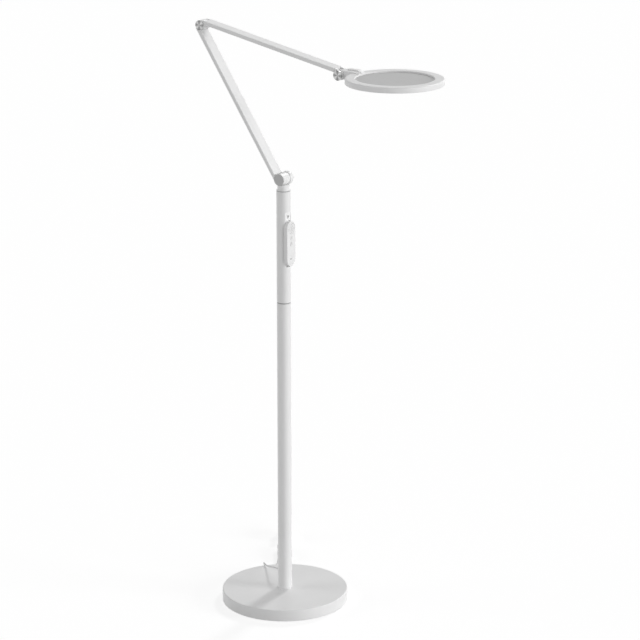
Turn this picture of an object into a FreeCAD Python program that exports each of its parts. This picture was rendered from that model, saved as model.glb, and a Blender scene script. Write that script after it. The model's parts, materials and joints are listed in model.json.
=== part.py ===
import FreeCAD, Part
import math
import os

from FreeCAD import Rotation, Vector

# Floor lamp: weighted round base, two-piece pole, swivelling neck, two folding arms, a ring-shaped
# LED head and a remote control that docks on the pole. Lengths are millimetres and angles degrees.
# +Z is up, the arms fold in the XZ plane with the head towards +X, and the origin is the centre of
# the underside of the base.

# Base
base_d = 280.0
base_h = 26.0
cover_wall = 2.0
cover_edge_r = 2.0
cover_lift = 0.6
pad_t = 2.0
pad_gap = 0.8
weight_gap = 0.3
weight_boss_d = 60.0
weight_rim_w = 10.0
weight_pocket = 12.0
foot_bolt_d = 10.0
foot_bolt_af = 17.0
foot_bolt_head = 6.4
foot_washer_d = 24.0
foot_washer_t = 2.0
foot_pocket_d = 30.0
foot_pocket_top = 12.0
foot_insert_h = 22.0
foot_bolt_short = 2.0

# Pole
pole_d = 30.8
pole_wall = 1.5
seam_z = 690.0
seam_gap = 3.0
seam_ring_in = 0.8
coupler_reach = 30.0
coupler_bore_d = 22.0
pole_top_z = 938.1
slip = 0.05
gap = 0.3
over = 1.0
near = 1e-4

# Dock on the upper tube, with the pole key above the docked remote
dock_z0 = 772.0
dock_h = 122.0
dock_w = 20.2
dock_face_x = 11.4
dock_t = 3.0
dock_corner_r = 3.0
dock_outline = 0.4
dock_tab_w = 11.6
dock_tab_h = 4.0
key_z = 883.0
key_bezel_d = 9.0
key_bezel_proud = 0.7
key_d = 5.6
key_flange = 1.0
key_flange_t = 1.2
key_travel = 0.5
key_gap = 0.2
magnet_d = 8.0
magnet_t = 2.0
magnet_inset_z = 24.0
board_t = 1.2
board_w = 13.0
board_h = 30.0
switch_gap = 0.7
post_d = 3.0

# Swivel at the top of the pole
bush_reach = 20.0
bush_flange_t = 2.0
spigot_d = 16.0
spigot_bore_d = 8.0
swivel_nut_d = 24.0
swivel_nut_t = 7.0
swivel_washer_t = 2.0
collar_t = 0.8
neck_d = 26.4
neck_shoulder_z = 953.0

# Hinges: places, directions and barrel sizes
hinge_1_z = 965.0
barrel_1_d = 25.7
barrel_2_d = 21.3
barrel_3_d = 21.6
lower_arm_l = 377.2
lower_arm_turn = -123.8
upper_arm_l = 368.6
upper_arm_turn = 10.95
arm_mid_y = -2.8
arm_w = 29.0
arm_t = 8.7
arm_out = 12.6
arm_wall = 1.4
arm_edge_r = 2.0
least_edge_r = 0.5
arm_start = 16.0
arm_stop = 14.0
block_near = 10.6
shoulder_near = 1.0
insert_l = 20.0
ear_near_y = 8.0
ball_y = 13.2
ball_r = 14.7
ball_gap = 0.4
friction_t = 0.3
saddle_gap = 0.4
hub_cap_t = 2.5
cap_margin = 1.0
flange_inset = 1.0
fork_cap_t = 1.5
fork_ear_t = 3.7
fork_gap = 0.25
pivot_bolt_d = 8.0
pivot_head_d = 15.0
pivot_head_t = 3.0
pivot_nut_af = 13.0
pivot_nut_t = 3.0
pivot_washer_t = 1.6
nut_room = 2.0
washer_inset = 1.5
hub_rim_w = 0.6
hub_rim_h = 1.0
channel_w = 8.0
wire_short = 4.0
fork_bolt_d = 6.0
fork_head_d = 11.0
fork_head_t = 1.8
bush_wall = 2.0
wire_d = 2.4

# Head
head_d = 207.4
head_open_d = 164.4
head_t = 12.0
head_reach = 134.4
head_top_z = 1216.0
lip_t = 3.4
housing_wall = 1.8
seat_w = 3.8
top_panel_t = 2.0
guide_t = 3.0
bezel_t = 1.7
strip_t = 0.8
led_count = 60
led_size = 2.8
led_t = 0.6
led_lift = 0.1
bracket_tip = 52.0
bracket_plate_t = 3.0
bracket_tip_t = 0.5
shelf_near = 13.0
shelf_rise = 5.5
shelf_flat = 25.0
shelf_w = 11.7
bracket_nose = 2.0
screw_short = 1.7
screw_d = 3.0
screw_spread = 10.0
screw_from_edge = 10.0
screw_seat = 0.4
screw_head_t = 1.6
head_top_r = 3.4
head_low_r = 1.6
head_lip_r = 0.8

# Remote control
remote_l = 100.0
remote_w = 30.8
remote_t = 9.0
remote_back_t = 4.0
remote_wall = 1.3
remote_edge_r = 1.6
remote_seat = 0.1
remote_z0 = 774.0
dial_from_top = 16.4
dial_d = 23.5
dial_gap = 0.3
power_d = 11.4
preset_from_top = 37.0
timer_from_top = 50.6
small_button_d = 9.5
button_proud = 0.6
button_t = 2.6
button_gap = 0.2
hang_from_top = 84.2
hang_hole_d = 4.2
hang_dish_d = 13.0
hang_dish_depth = 1.6
remote_board_t = 1.0
remote_board_gap = 1.3
battery_d = 20.0
battery_t = 2.6
battery_from_top = 62.0
door_lip = 0.6
boss_wall = 1.0
dial_proud = 0.2
dial_edge_r = 0.4
nub_proud = 0.6
nub_root = 4.0
carrier_d = 16.0
carrier_t = 0.8
rock_gap = 0.4
ridge_w = 1.2
ridge_short = 1.0
nub_d = 3.0

# Mains-adapter cable: a low-voltage lead that leaves the back of the pole
cord_d = 3.2
cord_turn = 110.0
cord_z = 54.0
gland_l = 20.0
gland_d = 7.0
gland_tip_d = 4.4
grommet_in = 2.0
grommet_lip = 1.0
grommet_lip_t = 1.2
store_turn = 36.0
hank_mid = 250.0
hank_run = 58.0
hank_in = 9.8
hank_pitch = 3.85
hank_draw = 2.0
hank_layers = 4
hank_layer_stations = 12
loop_stations = 8
hank_approach = 203.5
lead_l = 55.0
lead_straight = 13.0
bend_share = 0.45
gap_step = 1.5
gap_skip = 6
# Corners of the two free runs: sideways and away on the storage line, then height or drop
cord_route = [
    (-20.5, 56.4, 54.0),
    (-30.0, 83.0, 47.0),
    (-38.5, 107.0, 39.0),
    (-44.5, 125.5, 34.8),
    (-48.5, 143.0, 32.6),
    (-48.0, 158.0, 21.0),
    (-42.5, 168.5, 8.5),
    (-33.0, 180.0, cord_d / 2),
    (-22.5, 191.0, cord_d / 2),
]
lead_route = [
    (-10.5, 24.0, 2.0),
    (-3.6, 33.5, 2.4),
    (0.0, 44.0, 1.0),
]
tie_w = 7.0
tie_t = 0.8
adapter_l = 56.0
adapter_w = 28.0
adapter_h = 30.0
adapter_gap = 14.0
adapter_edge_r = 3.0
blade_l = 16.0
blade_w = 6.4
blade_t = 1.5
blade_spread = 12.7

# Values worked out from the ones above
pole_r = pole_d / 2
bore_r = pole_r - pole_wall
arm_in = arm_out - arm_t
arm_y0 = arm_mid_y - arm_w / 2
arm_y1 = arm_mid_y + arm_w / 2
hub_y0 = arm_y0 + hub_cap_t
hub_y1 = ear_near_y - friction_t
ball_end = ball_y + ball_r
tongue_y0 = arm_y0 + fork_cap_t + fork_ear_t + fork_gap
tongue_y1 = arm_y1 - fork_cap_t - fork_ear_t - fork_gap
collar_z0 = pole_top_z + bush_flange_t + slip
collar_z1 = collar_z0 + collar_t
remote_z1 = remote_z0 + remote_l
remote_x0 = math.sqrt(pole_r ** 2 - (dock_w / 2) ** 2) + remote_seat
remote_x1 = remote_x0 + remote_t
cord_r = cord_d / 2


def along(length, turn):
    """The end of an arm that starts at the origin, turned about +Y from +X."""
    a = math.radians(turn)
    return Vector(length * math.cos(a), 0, -length * math.sin(a))


hinge_1 = Vector(0, 0, hinge_1_z)
hinge_2 = hinge_1 + along(lower_arm_l, lower_arm_turn)
hinge_3 = hinge_2 + along(upper_arm_l, upper_arm_turn)
head_x = hinge_3.x + head_reach


def upright(diameter, z0, z1, x=0.0, y=0.0):
    """A cylinder along +Z."""
    return Part.makeCylinder(diameter / 2, z1 - z0, Vector(x, y, z0))


def ring(outer, inner, z0, z1, x=0.0, y=0.0):
    return upright(outer, z0, z1, x, y).cut(upright(inner, z0 - over, z1 + over, x, y))


def rod_y(diameter, y0, y1, x=0.0, z=0.0):
    """A cylinder along +Y."""
    return Part.makeCylinder(diameter / 2, y1 - y0, Vector(x, y0, z), Vector(0, 1, 0))


def rod_x(diameter, x0, x1, y=0.0, z=0.0):
    """A cylinder along +X."""
    return Part.makeCylinder(diameter / 2, x1 - x0, Vector(x0, y, z), Vector(1, 0, 0))


def box(x0, x1, y0, y1, z0, z1):
    return Part.makeBox(x1 - x0, y1 - y0, z1 - z0, Vector(x0, y0, z0))


def hexagon(across_flats, height, at, direction):
    """A hexagonal prism that starts at a point and runs along a direction."""
    r = across_flats / 2 / math.cos(math.pi / 6)
    points = [
        Vector(r * math.cos(k * math.pi / 3), r * math.sin(k * math.pi / 3), 0) for k in range(7)
    ]
    prism = Part.Face(Part.makePolygon(points)).extrude(Vector(0, 0, height))
    prism.Placement = FreeCAD.Placement(at, Rotation(Vector(0, 0, 1), direction))
    return prism


def plate_xz(points, y0, y1):
    """A polygon of (x, z) points, from y0 to y1."""
    loop = [Vector(x, y0, z) for x, z in points]
    return Part.Face(Part.makePolygon(loop + loop[:1])).extrude(Vector(0, y1 - y0, 0))


def rounded(shape, radius, picked):
    """The shape with the picked edges rounded."""
    edges = [e for e in shape.Edges if picked(e)]
    return shape.makeFillet(radius, edges)


def at_height(edge, z):
    return abs(edge.BoundBox.ZMin - z) < near and abs(edge.BoundBox.ZMax - z) < near


def at_side(edge, y):
    return abs(edge.BoundBox.YMin - y) < near and abs(edge.BoundBox.YMax - y) < near


def runs_along(edge, axis):
    """Whether a straight edge runs along X, Y or Z."""
    ends = edge.Vertexes
    if edge.Curve.TypeId != "Part::GeomLine" or len(ends) < 2:
        return False
    step = ends[1].Point - ends[0].Point
    return abs(abs(getattr(step, axis)) - step.Length) < 1e-6


def placed(shape, pivot, turn=0.0):
    """A piece drawn with its hinge at the origin, turned about +Y and moved to its hinge."""
    moved = shape.copy()
    moved.Placement = FreeCAD.Placement(pivot, Rotation(Vector(0, 1, 0), turn))
    return moved


def save(node, *solids):
    """Writes one node's solids to its file."""
    shape = solids[0] if len(solids) == 1 else Part.makeCompound(list(solids))
    assert shape.isValid() and shape.Volume > 0, node
    shape.exportStep("parts/" + node + ".step")


# Base and pole


def base():
    radius = base_d / 2
    inner_r = radius - cover_wall - weight_gap
    cover = upright(base_d, cover_lift, base_h)
    cover = rounded(cover, cover_edge_r, lambda e: at_height(e, base_h))
    cover = cover.cut(upright(base_d - 2 * cover_wall, 0, base_h - cover_wall))
    cover = cover.cut(upright(foot_bolt_d + 2 * gap, 0, base_h + over))
    save("base_cover", cover)
    weight_top = base_h - cover_wall
    weight = upright(2 * inner_r, pad_t, weight_top)
    pocket_z = weight_top - weight_pocket
    pocket = ring(2 * (inner_r - weight_rim_w), weight_boss_d, pocket_z, weight_top + over)
    weight = weight.cut(pocket)
    weight = weight.cut(upright(foot_pocket_d, 0, foot_pocket_top))
    weight = weight.cut(upright(foot_bolt_d + 2 * gap, 0, base_h))
    save("base_weight", weight)
    save("anti_slip_pad", upright(2 * (radius - cover_wall - pad_gap), 0, pad_t))
    washer_z = foot_pocket_top - foot_washer_t
    head_z = washer_z - foot_bolt_head
    bolt = upright(foot_bolt_d, washer_z, base_h + foot_insert_h - foot_bolt_short)
    bolt = bolt.fuse(hexagon(foot_bolt_af, foot_bolt_head, Vector(0, 0, head_z), Vector(0, 0, 1)))
    save("foot_bolt", bolt, ring(foot_washer_d, foot_bolt_d + 2 * slip, washer_z, foot_pocket_top))
    insert = ring(2 * (bore_r - slip), foot_bolt_d, base_h, base_h + foot_insert_h)
    save("pole_foot_insert", insert)


def cord_exit_axis():
    """Unit vector from the pole's axis towards the cord's exit."""
    a = math.radians(store_turn + cord_turn)
    return Vector(math.cos(a), math.sin(a), 0)


def dock_outline_solid(x0, x1, grow):
    """A rounded upright plate of the dock's outline."""
    z0 = dock_z0 - grow
    z1 = dock_z0 + dock_h + grow
    half = dock_w / 2 + grow
    return rounded(box(x0, x1, -half, half, z0, z1), dock_corner_r + grow, lambda e: runs_along(e, "x"))


def pole():
    lower_top = seam_z - seam_gap / 2
    upper_base = seam_z + seam_gap / 2
    lower = ring(pole_d, 2 * bore_r, base_h, lower_top)
    hole = Part.makeCylinder(gland_d / 2, pole_d, Vector(0, 0, cord_z), cord_exit_axis())
    save("lower_tube", lower.cut(hole))
    sleeve_d = 2 * (bore_r - slip)
    coupler = upright(sleeve_d, seam_z - coupler_reach, seam_z + coupler_reach)
    coupler = coupler.fuse(upright(pole_d - 2 * seam_ring_in, lower_top, upper_base))
    coupler = coupler.cut(upright(coupler_bore_d, seam_z - 2 * coupler_reach, seam_z + 2 * coupler_reach))
    save("tube_coupler", coupler)
    upper = ring(pole_d, 2 * bore_r, upper_base, pole_top_z)
    save("upper_tube", upper.cut(dock_outline_solid(0, pole_d, 0)))


def dock():
    back_x = dock_face_x - dock_t
    plate = dock_outline_solid(back_x, dock_face_x, -dock_outline)
    tab_x = math.sqrt((bore_r - gap) ** 2 - (dock_tab_w / 2) ** 2)
    half = dock_tab_w / 2
    tabs = []
    for end, way in ((dock_z0, -1), (dock_z0 + dock_h, 1)):
        tip, wall, root = end + way * dock_tab_h, end + way * gap, end - way * dock_tab_h
        tabs.append(box(back_x, back_x + dock_t / 2, -half, half, min(tip, root), max(tip, root)))
        tabs.append(box(back_x, tab_x, -half, half, min(tip, wall), max(tip, wall)))
    plate = plate.fuse(tabs)
    plate = plate.cut(rod_x(key_bezel_d, 0, pole_d, 0, key_z))
    magnets = []
    for z in (remote_z0 + magnet_inset_z, remote_z1 - magnet_inset_z):
        plate = plate.cut(rod_x(magnet_d, back_x, back_x + magnet_t, 0, z))
        magnets.append(rod_x(magnet_d - 2 * slip, back_x, back_x + magnet_t, 0, z))
    board_x1 = back_x - key_flange_t - key_travel - switch_gap
    board_z0 = key_z - board_h / 2
    posts = [
        rod_x(post_d, board_x1, back_x, 0, key_z + side * (board_h / 2 - post_d)) for side in (-1, 1)
    ]
    save("dock_plate", plate.fuse(posts).removeSplitter())
    save("dock_magnets", *magnets)
    board = box(board_x1 - board_t, board_x1, -board_w / 2, board_w / 2, board_z0, board_z0 + board_h)
    switch = rod_x(key_d / 2, board_x1, board_x1 + switch_gap / 2, 0, key_z)
    save("control_board", board.fuse(switch))
    bore_d = key_d + 2 * key_gap
    bezel = rod_x(key_bezel_d - 2 * slip, back_x, dock_face_x + key_bezel_proud, 0, key_z)
    bezel = rounded(bezel, key_bezel_proud / 2, lambda e: e.BoundBox.XMin > dock_face_x)
    save("key_bezel", bezel.cut(rod_x(bore_d, 0, pole_d, 0, key_z)))
    flange_x = back_x - slip
    key = rod_x(key_d, flange_x - key_flange_t, dock_face_x + key_bezel_proud / 2, 0, key_z)
    key = rounded(key, key_gap, lambda e: e.BoundBox.XMin > dock_face_x)
    flange = rod_x(key_d + 2 * key_flange, flange_x - key_flange_t, flange_x, 0, key_z)
    save("pole_key", key.fuse(flange))


# Neck and hinges


def neck():
    bush = upright(2 * (bore_r - slip), pole_top_z - bush_reach, pole_top_z)
    bush = bush.fuse(upright(pole_d - 2 * seam_ring_in, pole_top_z, pole_top_z + bush_flange_t))
    bush = bush.cut(upright(spigot_d, pole_top_z - 2 * bush_reach, pole_top_z + 2 * bush_flange_t))
    save("swivel_bush", bush)
    washer_z = pole_top_z - bush_reach - swivel_washer_t
    nut_z = washer_z - swivel_nut_t
    washer = ring(swivel_nut_d, spigot_d + 2 * slip, washer_z, pole_top_z - bush_reach - slip)
    nut = hexagon(swivel_nut_d * math.cos(math.pi / 6), swivel_nut_t, Vector(0, 0, nut_z), Vector(0, 0, 1))
    save("swivel_nut", nut.cut(upright(spigot_d - 2 * slip, nut_z - over, washer_z + over)), washer)
    saddle_d = barrel_1_d + 2 * saddle_gap
    casting = upright(pole_d, collar_z0, collar_z1)
    casting = casting.fuse(upright(spigot_d - 2 * slip, nut_z, collar_z0))
    casting = casting.fuse(upright(neck_d, collar_z1, neck_shoulder_z))
    casting = casting.cut(rod_y(saddle_d, -pole_d, ear_near_y, 0, hinge_1_z))
    near_angle = math.degrees(math.asin((ear_near_y - ball_y) / ball_r))
    ball = Part.makeSphere(ball_r, Vector(0, ball_y, hinge_1_z), Vector(0, 1, 0), near_angle, 90, 360)
    casting = casting.fuse(ball)
    head_y = ball_end - pivot_head_t - 2 * hub_cap_t
    pocket_d = pivot_head_d + 2 * cap_margin
    casting = casting.cut(rod_y(pocket_d, head_y, ball_end + over, 0, hinge_1_z))
    casting = casting.cut(rod_y(pivot_bolt_d + 2 * slip, 0, ball_end, 0, hinge_1_z))
    casting = casting.cut(upright(spigot_bore_d, nut_z - over, neck_shoulder_z))
    save("neck_casting", casting.removeSplitter())
    plug = rod_y(pocket_d - 2 * slip, head_y + pivot_head_t, ball_end + over, 0, hinge_1_z)
    save("neck_cap", plug.common(ball))
    nut_y = hub_y0 + nut_room
    bolt = rod_y(pivot_bolt_d, nut_y - nut_room / 2, head_y, 0, hinge_1_z)
    bolt = bolt.fuse(rod_y(pivot_head_d, head_y, head_y + pivot_head_t, 0, hinge_1_z))
    nut = hexagon(pivot_nut_af, pivot_nut_t, Vector(0, nut_y, hinge_1_z), Vector(0, 1, 0))
    nut = nut.cut(rod_y(pivot_bolt_d, nut_y - over, nut_y + pivot_nut_t + over, 0, hinge_1_z))
    spring_y = nut_y + pivot_nut_t
    spring = rod_y(pivot_head_d, spring_y, spring_y + pivot_washer_t, 0, hinge_1_z)
    friction = rod_y(barrel_1_d - 2 * washer_inset, hub_y1, ear_near_y, 0, hinge_1_z)
    hole = rod_y(pivot_bolt_d + 2 * slip, -pole_d, pole_d, 0, hinge_1_z)
    save("neck_pivot_bolt", bolt, nut, spring.cut(hole), friction.cut(hole))


def arm_block(s0, s1, y0=arm_y0, y1=arm_y1, inset=0.0):
    """A length of the arm's outer section, drawn along +X with its hinge line at z = 0."""
    block = box(s0, s1, y0 + inset, y1 - inset, arm_in + inset, arm_out - inset)
    return rounded(block, max(arm_edge_r - inset, least_edge_r), lambda e: runs_along(e, "x"))


def arm_tube(s0, s1):
    return arm_block(s0, s1).cut(arm_block(s0 - over, s1 + over, inset=arm_wall))


def arm_insert(s0, s1):
    """The tongue of an end casting inside the arm's tube, with a channel for the wire."""
    plug = arm_block(s0, s1, inset=arm_wall + slip)
    mid_o = (arm_in + arm_out) / 2
    half_w = channel_w / 2
    half_t = wire_d / 2 + gap
    y0, y1 = arm_mid_y - half_w, arm_mid_y + half_w
    channel = box(s0 - over, s1 + over, y0, y1, mid_o - half_t, mid_o + half_t)
    return plug.cut(channel)


def cheek(axis_s, side, barrel_d, y0, y1):
    """An ear or tongue at a hinge: side is +1 where the arm lies towards +X of the hinge."""
    reach = [
        (arm_stop, arm_in), (arm_stop, arm_out), (block_near, arm_out), (0, barrel_d / 2), (0, arm_in),
    ]
    web = plate_xz([(axis_s + side * s, o) for s, o in reach], y0, y1)
    return web.fuse(rod_y(barrel_d, y0, y1, axis_s, 0))


def crosspiece(axis_s, side):
    """The arm's full section from the cheeks to the tube, with the insert in the tube."""
    start, far, deep = (axis_s + side * s for s in (block_near, arm_stop, arm_stop + insert_l))
    block = arm_block(min(start, far), max(start, far))
    return block.fuse(arm_insert(min(far, deep), max(far, deep)))


def fork(axis_s, side, barrel_d):
    shape = crosspiece(axis_s, side)
    for y0, y1, pocket_y in (
        (arm_y0 + fork_cap_t, tongue_y0 - fork_gap, arm_y0 + fork_cap_t),
        (tongue_y1 + fork_gap, arm_y1 - fork_cap_t, arm_y1 - fork_cap_t - fork_head_t),
    ):
        ear = cheek(axis_s, side, barrel_d, y0, y1)
        ear = ear.cut(rod_y(fork_head_d + 2 * gap, pocket_y, pocket_y + fork_head_t, axis_s, 0))
        shape = shape.fuse(ear)
    return shape.cut(rod_y(fork_bolt_d + 2 * slip, -arm_w, arm_w, axis_s, 0)).removeSplitter()


def fork_bolt(axis_s):
    """A low-headed bolt and its round nut, each in the pocket of one ear."""
    head_y = arm_y0 + fork_cap_t
    nut_y = arm_y1 - fork_cap_t - fork_head_t
    bolt = rod_y(fork_bolt_d, head_y + fork_head_t, nut_y + fork_head_t, axis_s, 0)
    bolt = bolt.fuse(rod_y(fork_head_d, head_y, head_y + fork_head_t, axis_s, 0))
    nut = rod_y(fork_head_d, nut_y, nut_y + fork_head_t, axis_s, 0)
    return bolt, nut.cut(rod_y(fork_bolt_d, nut_y - over, nut_y + fork_head_t + over, axis_s, 0))


def fork_caps(axis_s, barrel_d):
    """The two round end caps of a fork."""
    caps = []
    for y0 in (arm_y0, arm_y1 - fork_cap_t):
        cap = rod_y(barrel_d, y0, y0 + fork_cap_t, axis_s, 0)
        outer_y = y0 if y0 == arm_y0 else y0 + fork_cap_t
        caps.append(rounded(cap, fork_cap_t / 3, lambda e: at_side(e, outer_y)))
    return caps


def hinge_bushes(axis_s, barrel_d):
    """Two flanged bushes that meet inside a tongue, with their flanges against the ears."""
    middle = (tongue_y0 + tongue_y1) / 2
    bushes = []
    for y0, y1, flange_y in ((tongue_y0, middle, tongue_y0 - fork_gap), (middle, tongue_y1, tongue_y1)):
        bush = rod_y(fork_bolt_d + 2 * bush_wall, y0, y1, axis_s, 0)
        bush = bush.fuse(rod_y(barrel_d - 2 * flange_inset, flange_y, flange_y + fork_gap, axis_s, 0))
        bushes.append(bush.cut(rod_y(fork_bolt_d + 2 * slip, -arm_w, arm_w, axis_s, 0)))
    return bushes


def tongue(axis_s, side, barrel_d):
    shape = cheek(axis_s, side, barrel_d, tongue_y0, tongue_y1)
    return shape.cut(rod_y(fork_bolt_d + 2 * bush_wall, -arm_w, arm_w, axis_s, 0))


def arm_wire(s0, s1):
    """The lead inside an arm, held in the channels of the end castings."""
    start = Vector(s0 + wire_short, arm_mid_y, (arm_in + arm_out) / 2)
    return Part.makeCylinder(wire_d / 2, s1 - s0 - 2 * wire_short, start, Vector(1, 0, 0))


def lower_arm():
    def put(node, *shapes):
        save(node, *[placed(s, hinge_1, lower_arm_turn) for s in shapes])

    hub = rod_y(barrel_1_d, hub_y0, hub_y1)
    block = arm_block(block_near / 2, arm_start)
    block = block.cut(rod_y(barrel_1_d + 2 * slip, arm_y0 - over, hub_y0))
    block = block.cut(rod_y(2 * (ball_r + ball_gap), hub_y1, arm_y1 + over))
    hub = hub.fuse([block, arm_insert(arm_start, arm_start + insert_l)])
    nut_pocket_d = pivot_head_d + 2 * cap_margin
    pocket_depth = nut_room + pivot_nut_t + pivot_washer_t
    hub = hub.cut(rod_y(nut_pocket_d, hub_y0, hub_y0 + pocket_depth))
    hub = hub.cut(rod_y(pivot_bolt_d + 2 * slip, -arm_w, arm_w))
    put("lower_arm_hub", hub.removeSplitter())
    cap = rod_y(barrel_1_d, arm_y0, hub_y0)
    cap = rounded(cap, hub_cap_t / 4, lambda e: at_side(e, arm_y0))
    rim_d = nut_pocket_d - 2 * slip
    rim = rod_y(rim_d, hub_y0, hub_y0 + hub_rim_h)
    rim = rim.cut(rod_y(rim_d - 2 * hub_rim_w, hub_y0, hub_y0 + hub_rim_h))
    put("hub_cap", cap.fuse(rim))
    stop = lower_arm_l - arm_stop
    put("lower_arm_tube", arm_tube(arm_start, stop))
    reach = arm_block(lower_arm_l - arm_stop, lower_arm_l - shoulder_near)
    reach = reach.cut(rod_y(barrel_2_d + 2 * ball_gap, -arm_w, arm_w, lower_arm_l, 0))
    end = tongue(lower_arm_l, -1, barrel_2_d).fuse([crosspiece(lower_arm_l, -1), reach])
    put("lower_arm_tongue", end.removeSplitter())
    put("elbow_bushes", *hinge_bushes(lower_arm_l, barrel_2_d))
    put("lower_arm_wire", arm_wire(arm_start, stop))


def upper_arm():
    def put(node, *shapes):
        save(node, *[placed(s, hinge_2, upper_arm_turn) for s in shapes])

    put("elbow_fork", fork(0, 1, barrel_2_d))
    put("elbow_bolt", *fork_bolt(0))
    put("elbow_caps", *fork_caps(0, barrel_2_d))
    put("upper_arm_tube", arm_tube(arm_stop, upper_arm_l - arm_stop))
    put("upper_arm_wire", arm_wire(arm_stop, upper_arm_l - arm_stop))
    put("head_fork", fork(upper_arm_l, -1, barrel_3_d))
    put("head_bolt", *fork_bolt(upper_arm_l))
    put("head_caps", *fork_caps(upper_arm_l, barrel_3_d))


# Head


def head_disc():
    """The outer shape of the head: a flat disc with rounded rims."""
    z1 = head_top_z
    z0 = z1 - head_t
    disc = upright(head_d, z0, z1, head_x, arm_mid_y)
    disc = rounded(disc, head_top_r, lambda e: at_height(e, z1))
    return rounded(disc, head_low_r, lambda e: at_height(e, z0))


def screw_places():
    """The two screws that hold the bracket, as x and y."""
    x = head_x - head_d / 2 + screw_from_edge
    return [(x, arm_mid_y + side * screw_spread / 2) for side in (-1, 1)]


def bracket():
    """The hinge tongue and the stem that carries the head, with a plate on top of the ring."""
    top = head_top_z
    edge = head_x - head_d / 2
    r = barrel_3_d / 2
    x, z = hinge_3.x, hinge_3.z
    profile = [
        (x, z + r),
        (edge + head_top_r, top + bracket_plate_t),
        (x + bracket_tip, top + bracket_tip_t),
        (x + bracket_tip, top - over),
        (edge + head_t, top - over),
        (edge + head_t, top - head_t + bracket_nose),
        (edge - head_t / 2, top - head_t),
        (x, z - r),
    ]
    stem = plate_xz(profile, tongue_y0, tongue_y1).cut(head_disc())
    stem = max(stem.Solids, key=lambda solid: solid.Volume)
    shelf = plate_xz(
        [
            (x + shelf_near, top - bracket_plate_t),
            (x + shelf_near, top + shelf_rise),
            (x + shelf_near + shelf_flat, top + shelf_rise),
            (x + bracket_tip, top + bracket_tip_t),
            (x + bracket_tip, top - over),
            (edge + head_top_r, top - bracket_plate_t),
        ],
        arm_y1 - shelf_w, arm_y1,
    )
    stem = stem.fuse([shelf.cut(head_disc()), rod_y(barrel_3_d, tongue_y0, tongue_y1, x, z)])
    stem = stem.cut(rod_y(fork_bolt_d + 2 * bush_wall, -arm_w, arm_w, x, z))
    screws = []
    under = top - housing_wall - screw_seat
    tip = top + bracket_plate_t - screw_short
    for sx, sy in screw_places():
        screw = upright(screw_d, under, tip, sx, sy)
        screws.append(screw.fuse(upright(2 * screw_d, under - screw_head_t, under, sx, sy)))
        stem = stem.cut(upright(screw_d, top - head_t, tip, sx, sy))
    return stem.removeSplitter(), screws


def head():
    stem, screws = bracket()
    save("head_bracket", stem)
    save("bracket_screws", *screws)
    save("head_bushes", *[placed(bush, hinge_3) for bush in hinge_bushes(0, barrel_3_d)])
    x, y = head_x, arm_mid_y
    z1 = head_top_z
    z0 = z1 - head_t
    lip_z = z1 - lip_t
    seat_d = head_open_d + 2 * seat_w
    strip_d = seat_d + 2 * strip_t + 4 * led_t
    cavity_d = head_d - 2 * housing_wall
    housing = head_disc().cut(upright(head_open_d, z0 - over, z1 + over, x, y))
    housing = rounded(
        housing, head_lip_r, lambda e: at_height(e, z1) and e.Length < math.pi * (head_open_d + over)
    )
    housing = housing.cut(upright(seat_d, z0 - over, lip_z, x, y))
    housing = housing.cut(upright(cavity_d, z0 - over, z0 + bezel_t, x, y))
    housing = housing.cut(ring(cavity_d, strip_d, z0, z1 - housing_wall - screw_seat, x, y))
    housing = housing.cut(ring(strip_d + over, seat_d - over, z0, lip_z, x, y))
    for hole_x, hole_y in screw_places():
        housing = housing.cut(upright(screw_d + 2 * slip, lip_z, z1 + over, hole_x, hole_y))
    save("ring_housing", housing.removeSplitter())
    panel_d = seat_d - 2 * gap
    guide_z = lip_z - top_panel_t
    diffuser_z = guide_z - guide_t
    save("top_panel", upright(panel_d, guide_z, lip_z, x, y))
    save("light_guide", upright(panel_d, diffuser_z, guide_z, x, y))
    save("bottom_diffuser", upright(panel_d, z0 + bezel_t, diffuser_z, x, y))
    bezel = ring(cavity_d - 2 * slip, head_open_d, z0, z0 + bezel_t, x, y)
    save("bezel_ring", bezel)
    strip = ring(strip_d, strip_d - 2 * strip_t, z0 + bezel_t, lip_z, x, y)
    led_r = strip_d / 2 - strip_t
    led_z = diffuser_z + led_lift
    leds = []
    for k in range(led_count):
        led = box(led_r - led_t, led_r, -led_size / 2, led_size / 2, led_z, led_z + led_size)
        led.Placement = FreeCAD.Placement(Vector(x, y, 0), Rotation(Vector(0, 0, 1), 360 * k / led_count))
        leds.append(led)
    save("led_strip", strip, *leds)


# Remote control, docked upright on the pole with its face towards +X


def stadium(x0, x1, inset):
    """The remote's outline with round ends, drawn in by an inset."""
    r = remote_w / 2
    z_low, z_high = remote_z0 + r, remote_z1 - r
    body = box(x0, x1, -(r - inset), r - inset, z_low, z_high)
    return body.fuse([rod_x(2 * (r - inset), x0, x1, 0, z) for z in (z_low, z_high)]).removeSplitter()


def small_button(z, diameter, face_x):
    """A round key: its cap in the front shell, with a flange behind it."""
    cap = rod_x(diameter, face_x - button_t, face_x + button_proud, 0, z)
    cap = rounded(cap, button_proud / 2, lambda e: e.BoundBox.XMin > face_x)
    flange_x = face_x - remote_wall - slip
    return cap.fuse(rod_x(diameter + 2 * key_flange, flange_x - key_flange_t / 2, flange_x, 0, z))


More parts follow.
